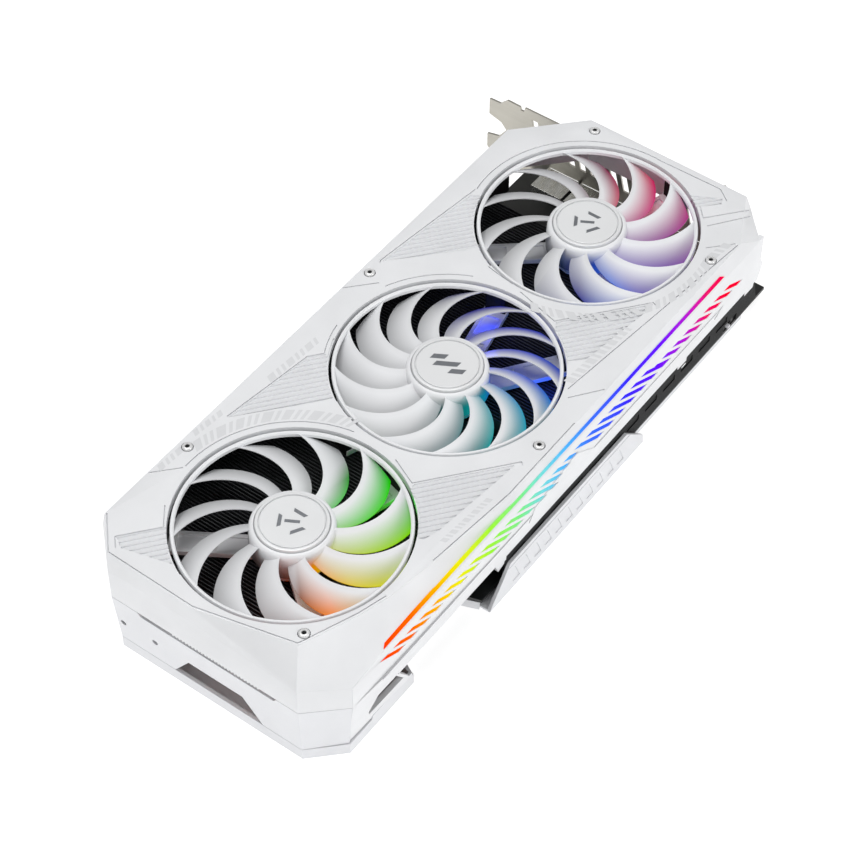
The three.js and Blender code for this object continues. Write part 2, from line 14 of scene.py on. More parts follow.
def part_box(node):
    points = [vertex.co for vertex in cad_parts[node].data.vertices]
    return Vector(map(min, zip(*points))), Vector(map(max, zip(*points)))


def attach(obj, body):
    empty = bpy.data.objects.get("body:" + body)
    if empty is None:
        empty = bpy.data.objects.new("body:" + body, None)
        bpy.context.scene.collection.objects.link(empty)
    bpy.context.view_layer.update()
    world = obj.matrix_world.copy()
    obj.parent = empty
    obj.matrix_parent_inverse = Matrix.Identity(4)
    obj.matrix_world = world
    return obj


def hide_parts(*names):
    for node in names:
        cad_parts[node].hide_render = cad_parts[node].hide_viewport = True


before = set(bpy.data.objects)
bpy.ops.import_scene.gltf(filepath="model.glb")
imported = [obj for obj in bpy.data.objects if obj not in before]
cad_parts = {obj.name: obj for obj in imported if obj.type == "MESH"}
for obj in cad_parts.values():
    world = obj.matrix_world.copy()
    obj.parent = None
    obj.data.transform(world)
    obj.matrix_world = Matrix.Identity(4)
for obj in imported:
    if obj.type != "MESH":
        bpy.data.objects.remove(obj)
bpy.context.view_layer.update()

MM = 0.001
MERGE = 2e-6  # metres


# ---------------------------------------------------------------- places taken from the frame
def mm_box(node):
    low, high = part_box(node)
    return low / MM, high / MM


def centre_of(node):
    low, high = mm_box(node)
    return (low + high) / 2


FAN_X = [centre_of(f"hub_cap_{i}").x for i in (1, 2, 3)]
REAR_X = mm_box("front_shroud")[0].x
FACE_Z = mm_box("front_shroud")[1].z
SEAM_Z = mm_box("front_shroud")[0].z
SIDE_Y = mm_box("side_rail")[0].y
SLOT_SIDE_Y = mm_box("front_shroud")[1].y
LIGHT_LOW, LIGHT_HIGH = mm_box("light_line")
COLLAR_Z = 53.0  # where the wall round each fan opening ends
OPENING_R = 48.5
COLLAR_R = 50.2
GROOVE_R = 51.4
RING_STEPS = 96


# ---------------------------------------------------------------- shapes
class Shape:
    """Corners in millimetres and faces, grown part by part."""

    def __init__(self):
        self.points = []
        self.faces = []

    def add(self, points, faces, move=None):
        first = len(self.points)
        self.points += [move @ Vector(p) if move else Vector(p) for p in points]
        self.faces += [[first + i for i in face] for face in faces]
        return self

    def loft(self, rings, caps=True, loop=False, closed=True, move=None):
        """Skin over rings of corners. loop joins the last ring to the first."""
        count = len(rings[0])
        pairs = [(k, k + 1) for k in range(len(rings) - 1)]
        if loop:
            pairs.append((len(rings) - 1, 0))
        faces = []
        for a, b in pairs:
            for i in range(count if closed else count - 1):
                j = (i + 1) % count
                faces.append([a * count + i, a * count + j, b * count + j, b * count + i])
        if caps and not loop:
            last = (len(rings) - 1) * count
            faces.append(list(range(count))[::-1])
            faces.append([last + i for i in range(count)])
        return self.add([p for ring in rings for p in ring], faces, move)

    def prism(self, outline, low, high, move=None):
        rings = [[(x, y, z) for x, y in outline] for z in (low, high)]
        return self.loft(rings, move=move)

    def box(self, low, high, move=None):
        (x0, y0, z0), (x1, y1, z1) = low, high
        return self.prism([(x0, y0), (x1, y0), (x1, y1), (x0, y1)], z0, z1, move)

    def turned(self, profile, segments=48, move=None):
        """Closed profile of (radius, z) corners turned about Z."""
        rings = []
        for i in range(segments):
            a = 2 * math.pi * i / segments
            rings.append([(r * math.cos(a), r * math.sin(a), z) for r, z in profile])
        return self.loft(rings, loop=True, move=move)


def make(name, shape, material, body="root", nodes=(), smooth=32, bevel=0, weld=MERGE):
    """One Blender piece from a shape: it rides on a body and may stand for CAD nodes."""
    mesh = bpy.data.meshes.new(name)
    mesh.from_pydata([p * MM for p in shape.points], [], shape.faces)
    built = bmesh.new()
    built.from_mesh(mesh)
    bmesh.ops.remove_doubles(built, verts=built.verts, dist=weld)
    bmesh.ops.dissolve_degenerate(built, edges=built.edges, dist=weld / 2)
    bmesh.ops.recalc_face_normals(built, faces=built.faces)
    built.to_mesh(mesh)
    built.free()
    return finish_piece(name, mesh, material, body, nodes, smooth, bevel)


def finish_piece(name, mesh, material, body, nodes=(), smooth=32, bevel=0):
    mesh.polygons.foreach_set("use_smooth", [True] * len(mesh.polygons))
    mesh.set_sharp_from_angle(angle=math.radians(smooth))
    mesh.materials.clear()
    mesh.materials.append(material)
    piece = bpy.data.objects.new(name, mesh)
    bpy.context.scene.collection.objects.link(piece)
    if bevel:
        soften(piece, bevel)
    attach(piece, body)
    if nodes:
        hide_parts(*nodes)
    return piece


def soften(piece, width, angle=40, segments=2):
    """Rounds the sharp edges of a piece by a bevel of that width in millimetres."""
    bevel = piece.modifiers.new("Edges", "BEVEL")
    bevel.width = width * MM
    bevel.segments = segments
    bevel.limit_method = "ANGLE"
    bevel.angle_limit = math.radians(angle)
    bevel.harden_normals = True


def keep(node, material, bevel=0):
    """A CAD node that stays in view, with its own finish and softened edges."""
    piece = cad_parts[node]
    piece.data.materials.clear()
    piece.data.materials.append(material)
    if bevel:
        weld = piece.modifiers.new("Join", "WELD")
        weld.merge_threshold = MERGE
        soften(piece, bevel)


# ---------------------------------------------------------------- flat outlines
def arc(centre, radius, start, end, steps):
    """Points of an arc, in degrees."""
    turns = [math.radians(start + (end - start) * i / steps) for i in range(steps + 1)]
    return [(centre[0] + radius * math.cos(a), centre[1] + radius * math.sin(a)) for a in turns]


def circle(centre, radius, steps=RING_STEPS):
    return arc(centre, radius, 0, 360, steps)[:-1]


def area(outline):
    pairs = zip(outline, outline[1:] + outline[:1])
    return sum(a[0] * b[1] - b[0] * a[1] for a, b in pairs) / 2


def anticlockwise(outline):
    return outline if area(outline) > 0 else outline[::-1]


def inset(outline, distance):
    """An anticlockwise outline with every edge moved inwards."""
    moved = []
    count = len(outline)
    for i, here in enumerate(outline):
        before, after = Vector(outline[i - 1]), Vector(outline[(i + 1) % count])
        here = Vector(here)
        u = (here - before).normalized()
        v = (after - here).normalized()
        left = Vector((-u.y - v.y, u.x + v.x)).normalized()
        stretch = distance / max(0.3, left.dot(Vector((-u.y, u.x))))
        moved.append(tuple(here + left * stretch))
    return moved


def stroke(points, width):
    """A ribbon along a path."""
    points = [Vector(p) for p in points]
    left, right = [], []
    for i, here in enumerate(points):
        u = (here - points[i - 1]).normalized() if i else None
        v = (points[i + 1] - here).normalized() if i + 1 < len(points) else u
        u = u or v
        normal = Vector((-u.y - v.y, u.x + v.x)).normalized()
        reach = width / 2 / max(0.5, normal.dot(Vector((-u.y, u.x))))
        left.append(tuple(here + normal * reach))
        right.append(tuple(here - normal * reach))
    return anticlockwise(left + right[::-1])


def clip(outline, normal, offset, sign):
    """The part of a convex outline with sign * (p . normal - offset) >= 0."""
    kept = []
    for a, b in zip(outline, outline[1:] + outline[:1]):
        da = sign * (a[0] * normal[0] + a[1] * normal[1] - offset)
        db = sign * (b[0] * normal[0] + b[1] * normal[1] - offset)
        if da >= 0:
            kept.append(a)
        if da * db < 0:
            t = da / (da - db)
            kept.append((a[0] + (b[0] - a[0]) * t, a[1] + (b[1] - a[1]) * t))
    return kept


class Hole:
    """Marks a polygon of a relief as open."""


HOLE = Hole()


def relief(shape, layers, place, rim=0.0, back=None, hole_to=None):
    """Builds a stepped surface from layers of (outline, level), where a later layer covers an earlier one.

    A level is a number, a function of (u, v), or HOLE. place turns (u, v, level) into a corner.
    rim is the level where the outer edge ends. back, if given, closes the piece at that level.
    """
    corners, loops, levels = [], [], []
    for outline, level in layers:
        outline = anticlockwise(list(outline))
        loops.append(list(range(len(corners), len(corners) + len(outline))))
        corners += [Vector(p) for p in outline]
        levels.append(level)
    flat, _, faces, _, _, owners = delaunay_2d_cdt(corners, [], loops, 4, 1e-4)
    bottom = hole_to if hole_to is not None else back
    outer = back if back is not None else rim

    def height(owner, v):
        level = levels[owner]
        return round(level(*flat[v]) if callable(level) else level, 4)

    index, points, made = {}, [], []

    def corner(v, h):
        key = (v, round(h, 4))
        if key not in index:
            index[key] = len(points)
            points.append(place(flat[v][0], flat[v][1], h))
        return index[key]

    sides = {}
    for face, owner_list in zip(faces, owners):
        owner = max(owner_list) if owner_list else None
        for a, b in zip(face, face[1:] + face[:1]):
            sides.setdefault((min(a, b), max(a, b)), []).append((owner, a, b))
        if owner is None or levels[owner] is HOLE:
            continue
        made.append([corner(v, height(owner, v)) for v in face])
        if back is not None:
            made.append([corner(v, back) for v in reversed(face)])

    for (a, b), users in sides.items():
        ends = []
        for owner, _, _ in users:
            if owner is None:
                ends.append((outer, outer))
            elif levels[owner] is HOLE:
                ends.append((bottom, bottom))
            else:
                ends.append((height(owner, a), height(owner, b)))
        solid = [o for o, _, _ in users if o is not None and levels[o] is not HOLE]
        if not solid:
            continue
        if len(ends) == 1:
            ends.append((outer, outer))
        (a0, b0), (a1, b1) = ends
        wall = [corner(a, a0), corner(b, b0), corner(b, b1), corner(a, a1)]
        wall = [v for i, v in enumerate(wall) if v != wall[i - 1]]
        if len(set(wall)) > 2:
            made.append(wall)
    return shape.add(points, made)


# ---------------------------------------------------------------- materials
class Nodes:
    """A small helper that adds and links shader nodes."""

    def __init__(self, name):
        self.material = bpy.data.materials.new(name)
        self.material.use_nodes = True
        self.tree = self.material.node_tree
        self.shader = self.tree.nodes["Principled BSDF"]
        self.place = self.add("ShaderNodeTexCoord").outputs["Object"]

    def add(self, kind, inputs=(), **settings):
        node = self.tree.nodes.new(kind)
        for key, value in settings.items():
            setattr(node, key, value)
        for socket, value in dict(inputs).items():
            if isinstance(value, bpy.types.NodeSocket):
                self.tree.links.new(value, node.inputs[socket])
            else:
                node.inputs[socket].default_value = value
        return node

    def set(self, socket, value):
        if isinstance(value, bpy.types.NodeSocket):
            self.tree.links.new(value, self.shader.inputs[socket])
        else:
            self.shader.inputs[socket].default_value = value

    def noise(self, scale, detail=3.0, stretch=None):
        vector = self.place
        if stretch:
            vector = self.add("ShaderNodeMapping", {"Vector": vector, "Scale": stretch}).outputs[0]
        node = self.add("ShaderNodeTexNoise", {"Vector": vector, "Scale": scale, "Detail": detail})
        return node.outputs["Fac"]

    def span(self, value, low, high, from_low=0.3, from_high=0.7):
        inputs = {"Value": value, "From Min": from_low, "From Max": from_high, "To Min": low, "To Max": high}
        return self.add("ShaderNodeMapRange", inputs).outputs["Result"]

    def mix(self, factor, a, b):
        return self.add("ShaderNodeMix", {"Factor": factor, 6: a, 7: b}, data_type="RGBA").outputs[2]

    def math(self, operation, a, b=0.0):
        return self.add("ShaderNodeMath", {0: a, 1: b}, operation=operation).outputs[0]

    def ramp(self, factor, stops):
        node = self.add("ShaderNodeValToRGB", {"Fac": factor})
        elements = node.color_ramp.elements
        while len(elements) > 1:
            elements.remove(elements[-1])
        elements[0].position, elements[0].color = stops[0][0], rgb(stops[0][1])
        for position, colour in stops[1:]:
            elements.new(position).color = rgb(colour)
        return node.outputs["Color"]

    def bump(self, height, strength, distance=0.05):
        inputs = {"Height": height, "Strength": strength, "Distance": distance * MM}
        self.set("Normal", self.add("ShaderNodeBump", inputs).outputs["Normal"])


def rgb(colour):
    """Linear colour with alpha, from a #rrggbb string or three numbers."""
    if isinstance(colour, str):
        parts = [int(colour[i:i + 2], 16) / 255 for i in (1, 3, 5)]
        colour = [c / 12.92 if c <= 0.04045 else ((c + 0.055) / 1.055) ** 2.4 for c in parts]
    return (*colour, 1.0)


def shade(colour, factor):
    return (*[min(1.0, c * factor) for c in rgb(colour)[:3]], 1.0)


def finish_of(name, colour, roughness, metallic=0.0, vary=0.03, grain=900, grain_bump=0.12,
              stretch=None, spread=0.06, specular=0.5):
    """A painted, moulded or bare finish: cloudy colour, uneven gloss and a fine surface grain."""
    n = Nodes(name)
    cloud = n.noise(45, 4)
    fine = n.noise(grain, 2, stretch)
    n.set("Base Color", n.mix(n.span(cloud, 0, 1), shade(colour, 1 - vary), shade(colour, 1 + vary)))
    n.set("Roughness", n.span(fine, roughness - spread, roughness + spread))
    n.set("Metallic", metallic)
    n.set("Specular IOR Level", specular)
    n.bump(fine, grain_bump)
    return n


WHITE_PLASTIC = finish_of("white_plastic", "#e3e4e6", 0.42, grain=1500, grain_bump=0.1).material
WHITE_PAINT = finish_of("white_painted_metal", "#dfe0e3", 0.38, 0.15, grain=1100, grain_bump=0.14).material
FIN_PAINT = finish_of("black_fins", "#46474a", 0.5, 0.3, vary=0.15, grain=700, stretch=(1, 0.05, 1)).material
COPPER = finish_of("copper", "#d08a5c", 0.28, 1.0, vary=0.08, grain=600, stretch=(0.1, 1, 1)).material
NICKEL = finish_of("nickel", "#cfcfcb", 0.26, 1.0, vary=0.04, grain=800, stretch=(0.1, 1, 1)).material
STEEL = finish_of("bracket_steel", "#b9b6ad", 0.4, 1.0, vary=0.05, grain=500, stretch=(1, 0.06, 1)).material
SCREW_STEEL = finish_of("screw_steel", "#e6e6e6", 0.3, 0.45, vary=0.04, grain=1400).material
BOARD_BLACK = finish_of("solder_mask", "#121414", 0.42, vary=0.25, grain=260, grain_bump=0.4).material
SOCKET_BLACK = finish_of("socket_black", "#0d0d0e", 0.48, vary=0.2, grain=1600, grain_bump=0.2).material
BRASS = finish_of("brass", "#b9944e", 0.32, 1.0, vary=0.06, grain=900, stretch=(1, 1, 0.1)).material
CAP_WHITE = finish_of("cap_metal", "#e4e5e6", 0.36, 0.1, vary=0.02, grain=900, grain_bump=0.06).material
BAND_BLACK = finish_of(
    "band_black", "#141516", 0.6, vary=0.2, grain=1400, grain_bump=0.2, specular=0.15,
).material
PRINT_GREY = finish_of("grey_print", "#d6d7d9", 0.5, vary=0.03, grain=1500).material
EMBLEM_GREY = finish_of("emblem_grey", "#8d9095", 0.34, 0.8, vary=0.05, grain=1200).material

RAINBOW = [
    (0.0, "#ff3a00"), (0.075, "#ff6a00"), (0.14, "#ffb400"), (0.2, "#f2ee10"), (0.29, "#9cf53c"),
    (0.37, "#7ff08c"),
    (0.43, "#78dfe0"), (0.5, "#4fb4ff"), (0.57, "#3d74ff"), (0.68, "#3a2cff"), (0.78, "#6a16ff"),
    (0.86, "#b31bd8"),
    (0.93, "#f0146c"), (1.0, "#ff0032"),
]


def rainbow_light(name, strength):
    """Light guide whose colour runs along the card."""
    n = Nodes(name)
    along = n.add("ShaderNodeSeparateXYZ", {0: n.place}).outputs[0]
    colour = n.ramp(n.span(along, 0, 1, LIGHT_LOW.x * MM, LIGHT_HIGH.x * MM), RAINBOW)
    milky = n.noise(600, 2)
    n.set("Base Color", n.mix(0.97, colour, rgb("#000000")))
    n.set("Roughness", n.span(milky, 0.4, 0.5))
    n.set("Specular IOR Level", 0.0)
    n.set("Emission Color", colour)
    n.set("Emission Strength", n.span(milky, strength * 0.94, strength * 1.06))
    return n.material


def blade_plastic(name, centre_x, glow, strength=1.0):
    """White blades with painted shade that darkens them lower down, and a painted glow in the lamps' colours
    on their low edges. glow lists (degrees, colour).
    """
    n = finish_of(name, "#e9eaec", 0.36, grain=1300, grain_bump=0.08, vary=0.015)
    here = n.add("ShaderNodeNewGeometry").outputs["Position"]
    x, y, z = n.add("ShaderNodeSeparateXYZ", {0: here}).outputs[:3]
    turn = n.math("ARCTAN2", y, n.math("SUBTRACT", x, centre_x * MM))
    share = n.span(turn, 0, 1, -math.pi, math.pi)
    colour = n.ramp(share, [((d + 180) / 360, c) for d, c in glow])
    # How far down a point sits on the blade; it sets where the painted glow shows.
    low = n.math("POWER", n.span(z, 1, 0, 48.8 * MM, 54.6 * MM), 1.15)
    parts = n.add("ShaderNodeSeparateColor", {0: colour}).outputs
    level = n.math("MAXIMUM", n.math("MAXIMUM", parts[0], parts[1]), parts[2])
    painted_glow_mask = n.math("MULTIPLY", low, n.math("MINIMUM", n.math("MULTIPLY", level, 5.0), 1.0))
    white = n.shader.inputs["Base Color"].links[0].from_socket
    # Painted shade: the white darkens towards near-black the lower the point sits.
    painted_depth_shade = n.mix(n.span(z, 0.75, 0, 43.0 * MM, 54.4 * MM), white, rgb("#202124"))
    # Painted light: the glow colour tints the base colour on the low edges.
    n.set("Base Color", n.mix(painted_glow_mask, painted_depth_shade, n.mix(0.4, colour, rgb("#000000"))))
    # Painted light: the low edges glow in that colour, though the blades are no lamp.
    n.set("Emission Color", colour)
    n.set("Emission Strength", n.math("MULTIPLY", low, strength))
    return n.material


# ---------------------------------------------------------------- camera, light and floor
def camera():
    data = bpy.data.cameras.new("camera")
    data.lens = 106.84
    data.sensor_width = 36
    data.clip_start, data.clip_end = 0.05, 20
    view = bpy.data.objects.new("camera", data)
    view.location = Vector((-557.96, -400.37, 817.13)) * MM
    aim = Vector((-31.20, -11.67, 56.8)) * MM
    view.rotation_euler = (aim - view.location).to_track_quat("-Z", "Y").to_euler()
    bpy.context.scene.collection.objects.link(view)
    bpy.context.scene.camera = view


def softbox(name, place, aim, size, power, colour=(1, 1, 1)):
    data = bpy.data.lights.new(name, "AREA")
    data.shape, data.size, data.size_y = "RECTANGLE", *size
    data.energy, data.color = power, colour
    lamp = bpy.data.objects.new(name, data)
    lamp.location = place
    lamp.rotation_euler = (Vector(aim) - Vector(place)).to_track_quat("-Z", "Y").to_euler()
    bpy.context.scene.collection.objects.link(lamp)
    return lamp


def glow_lamp(name, place, colour, power, radius=3.0):
    data = bpy.data.lights.new(name, "POINT")
    data.energy, data.color, data.shadow_soft_size = power, rgb(colour)[:3], radius * MM
    lamp = bpy.data.objects.new(name, data)
    lamp.location = Vector(place) * MM
    lamp.visible_camera = False
    bpy.context.scene.collection.objects.link(lamp)


def studio():
    scene = bpy.context.scene
    scene.view_settings.view_transform = "Standard"
    world = bpy.data.worlds.new("studio")
    world.use_nodes = True
    world.node_tree.nodes["Background"].inputs["Color"].default_value = (1, 1, 1, 1)
    world.node_tree.nodes["Background"].inputs["Strength"].default_value = 0.42
    scene.world = world
    softbox("key", (-0.1, 0.2, 1.5), (0, 0, 0), (1.0, 1.0), 11.0)
    softbox("rear_fill", (-1.4, 0.1, 0.6), (0, 0, 0), (0.8, 0.8), 3.0)
    softbox("side_fill", (0.3, -1.5, 0.8), (0, 0, 0), (1.0, 0.8), 8.0)
    n = Nodes("pale_floor")
    haze = n.noise(3, 2)
    n.set("Base Color", n.mix(haze, (0.44, 0.44, 0.44, 1), (0.46, 0.46, 0.46, 1)))
    n.set("Roughness", n.span(haze, 0.75, 0.85))
    n.set("Emission Color", (1, 1, 1, 1))
    n.set("Emission Strength", 0.78)
    shape = Shape().prism(circle((0, 0), 6000, 64), -20, 0)
    mesh = bpy.data.meshes.new("floor")
    mesh.from_pydata([p * MM for p in shape.points], [], shape.faces)
    mesh.materials.append(n.material)
    floor = bpy.data.objects.new("floor", mesh)
    scene.collection.objects.link(floor)


# ---------------------------------------------------------------- shroud
# Each row: corner of the flat face, corner of the wall below it, height where that wall starts.
SHROUD_ROWS = [
    ((-155.1, 48.0), (REAR_X, 46.0), 50.2),
    ((-155.9, 5.2), (REAR_X, 5.2), 50.2),
    ((-145.6, -37.6), (REAR_X, -46.0), 47.5),
    ((-121.0, -47.6), (-143.5, -61.0), 46.5),
    ((-106.0, -51.8), (-125.6, SIDE_Y), 50.8),
    ((-84.0, -55.4), (-92.0, SIDE_Y), 50.8),
    ((-40.0, -59.9), (-40.0, SIDE_Y), 50.8),
    ((130.8, -59.4), (142.0, SIDE_Y), 50.8),
    ((133.5, -57.3), (145.05, -59.2), 50.8),
    ((156.2, -46.1), (157.8, -47.5), 50.2),
    ((156.8, 35.1), (157.8, 35.5), 50.2),
    ((129.3, 61.5), (130.0, SLOT_SIDE_Y), 50.2),
    ((-116.8, 61.5), (-116.8, SLOT_SIDE_Y), 50.2),
    ((-140.7, 61.5), (-141.5, SLOT_SIDE_Y), 50.2),
]
RAIL_ROWS = (3, 4, 5, 6, 7)  # the walls from these rows to the next are left to the side rail
FACE = [row[0] for row in SHROUD_ROWS]
WALL = [row[1] for row in SHROUD_ROWS]
SHOULDER_Z = [row[2] for row in SHROUD_ROWS]
SHELL = 2.2
GROOVE = -0.8
HATCH_DIRECTION = -39.0
HATCH_PITCH = 2.45
SCREWS = [centre_of(f"shroud_screw_{i}") for i in range(1, 7)]
FANS = [(x, 0.0) for x in FAN_X]


SLOPE_LOW_Z = 50.8
LIGHT_ROWS = (4, 5, 6, 7)
LIGHT_LENGTH_SHARE = 0.951
WINDOW_DEPTH, WINDOW_BACK = -0.12, -1.9


def ridges(panel, drop=0.85, pitch=HATCH_PITCH, degrees=HATCH_DIRECTION):
    """Saw-tooth ridges over a convex panel."""
    a = math.radians(degrees)
    normal = (-math.sin(a), math.cos(a))
    reach = [p[0] * normal[0] + p[1] * normal[1] for p in panel]
    first, last = math.floor(min(reach) / pitch), math.ceil(max(reach) / pitch)
    layers = []
    for k in range(first, last):
        strip = clip(clip(list(panel), normal, k * pitch, 1), normal, (k + 1) * pitch, -1)
        if len(strip) < 3 or abs(area(strip)) < 0.2:
            continue

        def level(u, v, k=k):
            share = (u * normal[0] + v * normal[1]) / pitch - k
            return -0.05 - drop * min(1.0, max(0.0, share))

        layers.append((strip, level))
    return layers


def bars(start, end, width, lengths, gap, lean):
    """A row of slanted bars between two points, each as long along the row as the next of lengths."""
    start, end = Vector(start), Vector(end)
    along = (end - start).normalized()
    across = Vector((-along.y, along.x))
    outlines, t, i = [], 0.0, 0
    total = (end - start).length
    while t < total:
        long = lengths[i % len(lengths)]
        corners = []
        for u, v in ((t, 0), (t + long, 0), (t + long + lean, width), (t + lean, width)):
            p = start + along * u + across * v
            corners.append(tuple(p))
        outlines.append(anticlockwise(corners))
        t += long + gap
        i += 1
    return outlines


def seam(points, width=0.5):
    return (stroke(points, width), GROOVE)


def face_layers():
    """Everything moulded into the shroud's face, as outlines and levels."""
    near, mid, far = FANS
    layers = []
    panels = [
        [(-150.0, 45.0), (-144.0, 23.0), (-135.0, 20.0), (-126.0, 34.0), (-132.3, 38.0),
         (-147.0, 49.8)],
        [(-74.5, 53.9), (-50.0, 33.0), (-36.0, 22.0), (-28.0, 30.0), (-24.6, 43.8), (-30.0, 48.2)],
        [(-58.3, -26.2), (-66.0, -28.0), (-80.0, -40.0), (-78.0, -45.5), (-72.0, -47.6), (-36.0, -51.6),
         (-27.0, -52.2)],
        [(31.5, 56.8), (57.0, 33.0), (66.0, 26.0), (76.0, 34.0), (88.0, 46.5), (86.0, 50.2),
         (50.0, 54.9)],
        [(46.0, -21.8), (38.0, -27.0), (30.0, -37.0), (36.0, -43.5), (76.0, -49.0), (78.2, -48.4)],
        [(141.5, -25.0), (148.5, -38.5), (145.5, -39.8), (136.0, -31.0)],
    ]
    for panel in panels:
        layers += ridges(anticlockwise(panel))
    seams = [
        [(-140.2, 60.6), (-154.2, 47.6), (-155.0, 5.3), (-144.9, -37.0), (-120.6, -46.6),
         (-108.0, -50.2)],
        [(-84.0, -54.5), (-40.0, -58.9), (5.0, -58.9)],
        [(-151.2, 46.6), (-147.0, 50.5), (-132.5, 38.5), (-124.0, 45.0)],
        [(-115.2, 60.8), (-105.2, 51.6)],
        [(-74.5, 54.6), (-30.0, 48.8), (-24.5, 44.2), *arc(mid, 50.6, 118.5, 100.0, 6)],
        [(-52.5, -13.0), (-58.3, -25.3), (-24.0, -53.5), (-25.3, -55.0)],
        [(9.2, 60.8), (20.6, 50.4)],
        arc(mid, GROOVE_R, 66.5, 24.0, 12),
        [(30.2, 57.2), (31.4, 57.8), (50.0, 55.7), (90.0, 50.7)],
        [*arc(far, GROOVE_R, 102.0, -5.0, 30), (153.0, -34.5), (148.5, -40.5)],
        arc(near, GROOVE_R, 93.0, 10.0, 26),
        [(51.3, 0.0), (46.0, -21.0), (79.0, -48.0), (78.3, -50.2)],
        [(18.5, -46.6), (128.5, -58.6)],
        [(139.0, -33.0), (133.5, -38.0), (149.3, -51.3)],
        [(130.5, -42.0), (146.5, -53.8)],
        [(14.5, -49.2), (27.0, -58.6)],
        [(55.4, 19.2), (54.4, 14.0), (53.2, 5.0)],
        [(119.0, -48.6), (128.6, -57.4)],
    ]
    layers += [seam(points) for points in seams]
    step = 360 / RING_STEPS
    for fan, first, last in ((near, 38, 42), (near, 82, 86), (mid, 29, 40), (mid, 82, 88), (far, 30, 42)):
        inner = arc(fan, OPENING_R, first * step, last * step, last - first)
        outer = arc(fan, OPENING_R + 0.6, first * step, last * step, last - first)
        layers.append((outer + inner[::-1], -0.9))
    for fan in FANS:
        layers.append((circle(fan, OPENING_R), HOLE))
    for screw in SCREWS:
        layers.append((circle((screw.x, screw.y), 2.55, 24), -2.2))
    return layers


def ring_bars(fan, inner, outer, start, end, lengths, gap, lean):
    """Slanted bars along an arc round a fan. Lengths, gap and lean are in degrees, from start down."""
    outlines, turn, i = [], start, 0
    while turn > end:
        long = lengths[i % len(lengths)]
        corners = []
        near_corners = ((turn, inner), (turn - long, inner))
        far_corners = ((turn - long - lean, outer), (turn - lean, outer))
        for angle, radius in near_corners + far_corners:
            a = math.radians(angle)
            corners.append((fan[0] + radius * math.cos(a), fan[1] + radius * math.sin(a)))
        outlines.append(anticlockwise(corners))
        turn -= long + gap
        i += 1
    return outlines


def face_prints():
    """Plain slanted bars printed on the face."""
    near, _, far = FANS
    rows = [
        ring_bars(near, 52.6, 57.6, 84, 12, (3.6, 1.6, 1.6, 4.4, 1.6), 1.5, 2.6),
        bars((-112.0, 57.4), (-101.0, 56.8), 3.0, (3.0, 1.4, 1.4), 1.4, 1.2),
        bars((-90.0, 58.0), (-77.0, 56.6), 2.8, (2.4, 1.3), 1.4, 1.2),
        bars((-50.0, 51.8), (-22.0, 49.6), 3.4, (3.6, 1.5, 1.5), 1.5, 1.4),
        ring_bars(far, 52.6, 57.0, 236, 188, (3.2, 1.6, 1.6, 4.0), 1.6, -2.6),
        ring_bars(far, 52.6, 57.0, 282, 240, (3.6, 1.6, 2.4), 1.6, 2.6),
        bars((22.0, -46.4), (60.0, -49.4), 3.6, (3.0, 1.4, 2.2, 1.4), 1.4, -1.2),
        bars((116.0, -55.2), (128.0, -57.0), 3.6, (3.4, 1.6), 1.5, -1.8),
        bars((-74.0, -53.4), (-46.0, -55.6), 2.4, (2.2, 1.0, 2.2, 1.0, 1.0), 1.1, -1.2),
    ]
    shape = Shape()
    for row in rows:
        for outline in row:
            shape.prism(outline, FACE_Z - 0.3, FACE_Z + 0.03)
    make("face_prints", shape, PRINT_GREY)


def fan_posts():
    """Posts that hang the motor arms from the shroud."""
    shape = Shape()
    for fan, spec in zip(FANS, FAN_SPECS):
        for degrees in spec["arms"]:
            turn = Matrix.Translation((*fan, 0)) @ Matrix.Rotation(math.radians(degrees), 4, "Z")
            shape.box((49.2, -4.6, 38.7), (52.6, 4.6, FACE_Z - SHELL), turn)
    make("fan_posts", shape, BAND_BLACK, bevel=0.4)


def slope_point(rows, share, z):
    """Point on the slope above the ridge: share along the rows, then up to a height."""
    position = share * (len(rows) - 1)
    first = min(int(position), len(rows) - 2)
    part = position - first
    rise = (z - SLOPE_LOW_Z) / (FACE_Z - SLOPE_LOW_Z)
    foot, top = [
        [a + (b - a) * part for a, b in zip(rows[first][side], rows[first + 1][side])] for side in (1, 0)
    ]
    return foot[0] + (top[0] - foot[0]) * rise, foot[1] + (top[1] - foot[1]) * rise


def light_line():
    """Thin light guide on the slope above the ridge."""
    rows = [(top, foot) for top, foot, _ in (SHROUD_ROWS[i] for i in LIGHT_ROWS)]
    heights = [(51.0, 51.65), (51.3, 52.2), (51.8, 53.1), (51.8, 53.5)]
    rings = []
    steps = 60
    for i in range(steps + 1):
        share = LIGHT_LENGTH_SHARE * i / steps
        position = share * (len(rows) - 1)
        first = min(int(position), len(rows) - 2)
        part = position - first
        low, high = [a + (b - a) * part for a, b in zip(heights[first], heights[first + 1])]
        ring = []
        for z, lift in ((low, -0.3), (low, 0.22), (high, 0.22), (high, -0.3)):
            x, y = slope_point(rows, share, z)
            ring.append((x, y - lift, z + lift * 0.3))
        rings.append(ring)
    shape = Shape().loft(rings)
    make("light_guide", shape, rainbow_light("light_line", 1.0), nodes=["light_line"])


FIN_END_COUNT, FIN_END_FIRST_X, FIN_END_PITCH, FIN_END_THICK = 165, -129.0, 1.55, 0.5


def baffles():
    """Dark inner walls beside the fins, with the fins' end ribs on the slot side."""
    shape = Shape()
    shape.box((-130.0, 58.7, 22.0), (128.0, 59.5, 52.0))
    shape.box((-112.0, -56.8, 37.4), (140.0, -56.3, 50.0))
    make("inner_walls", shape, BAND_BLACK)
    ribs = Shape()
    for i in range(FIN_END_COUNT):
        x = FIN_END_FIRST_X + i * FIN_END_PITCH
        ribs.box((x, 59.3, 22.4), (x + FIN_END_THICK, 60.1, 36.5))
    make("fin_ends", ribs, FIN_PAINT)


